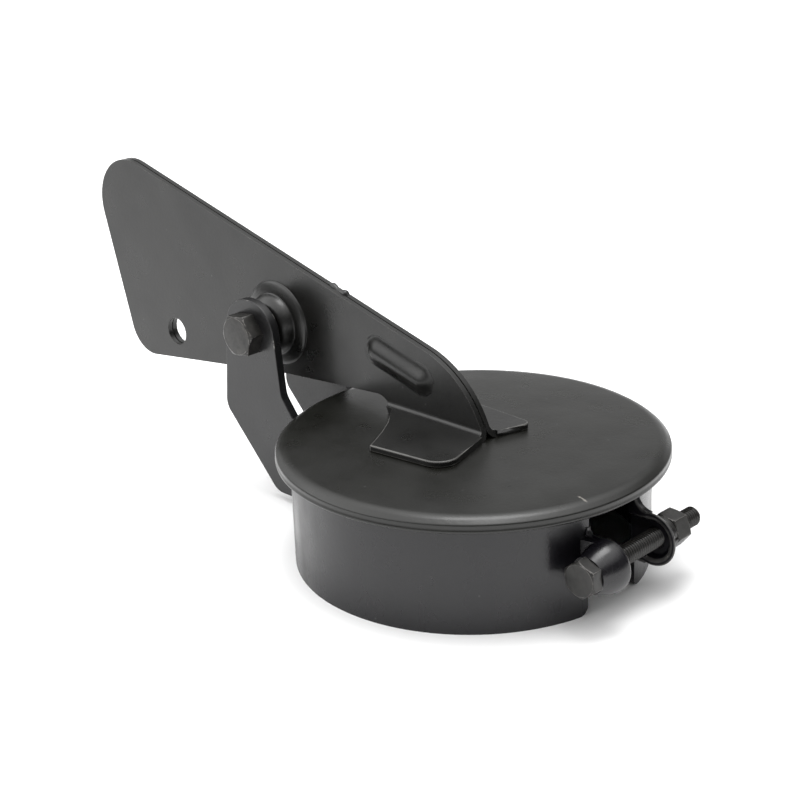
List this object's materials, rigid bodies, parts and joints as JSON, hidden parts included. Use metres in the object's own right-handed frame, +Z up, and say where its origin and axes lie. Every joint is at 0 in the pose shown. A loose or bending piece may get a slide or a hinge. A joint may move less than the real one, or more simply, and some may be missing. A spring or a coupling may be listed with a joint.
{
  "type": "exhaust pipe rain cap",
  "caption": "Rain cap for an upright pipe: split clamp collar with a flat hinged lid on a folded double-plate lever, pivoted between two welded brackets.",
  "frame": {"origin": "on the collar's axis, in the plane of its lower rim", "axes": "+Z up along the collar's axis, out through the lid; +X from the hinge towards the clamp gap, in the lever's plane; +Y towards the clamp bolt's nut"},
  "size_m": [0.2449, 0.12, 0.1019],
  "materials": {
    "black_paint": "satin black paint on pressed steel",
    "black_oxide": "black oxide on steel fasteners, dull"
  },
  "bodies": {
    "base": {"collar": "black_paint", "bracket_front": "black_paint", "bracket_rear": "black_paint", "bracket_weld_front": "black_paint", "bracket_weld_rear": "black_paint", "pivot_bolt": "black_oxide", "pivot_nut": "black_oxide", "washer_front_inner": "black_oxide", "washer_front_outer": "black_oxide", "washer_rear_inner": "black_oxide", "washer_rear_outer": "black_oxide", "clamp_bolt": "black_oxide", "clamp_nut": "black_oxide", "clamp_lock_washer": "black_oxide"},
    "flap": {"lid": "black_paint", "lever_plate_front": "black_paint", "lever_plate_rear": "black_paint", "seam_tack": "black_paint", "pivot_sleeve": "black_paint"}
  },
  "joints": [
    {"name": "lid_swing", "type": "hinge", "parent": "base", "child": "flap", "pos_m": [-0.0832, 0, 0.05715], "axis": [0, -1, 0], "range_deg": [0, 90]}
  ]
}
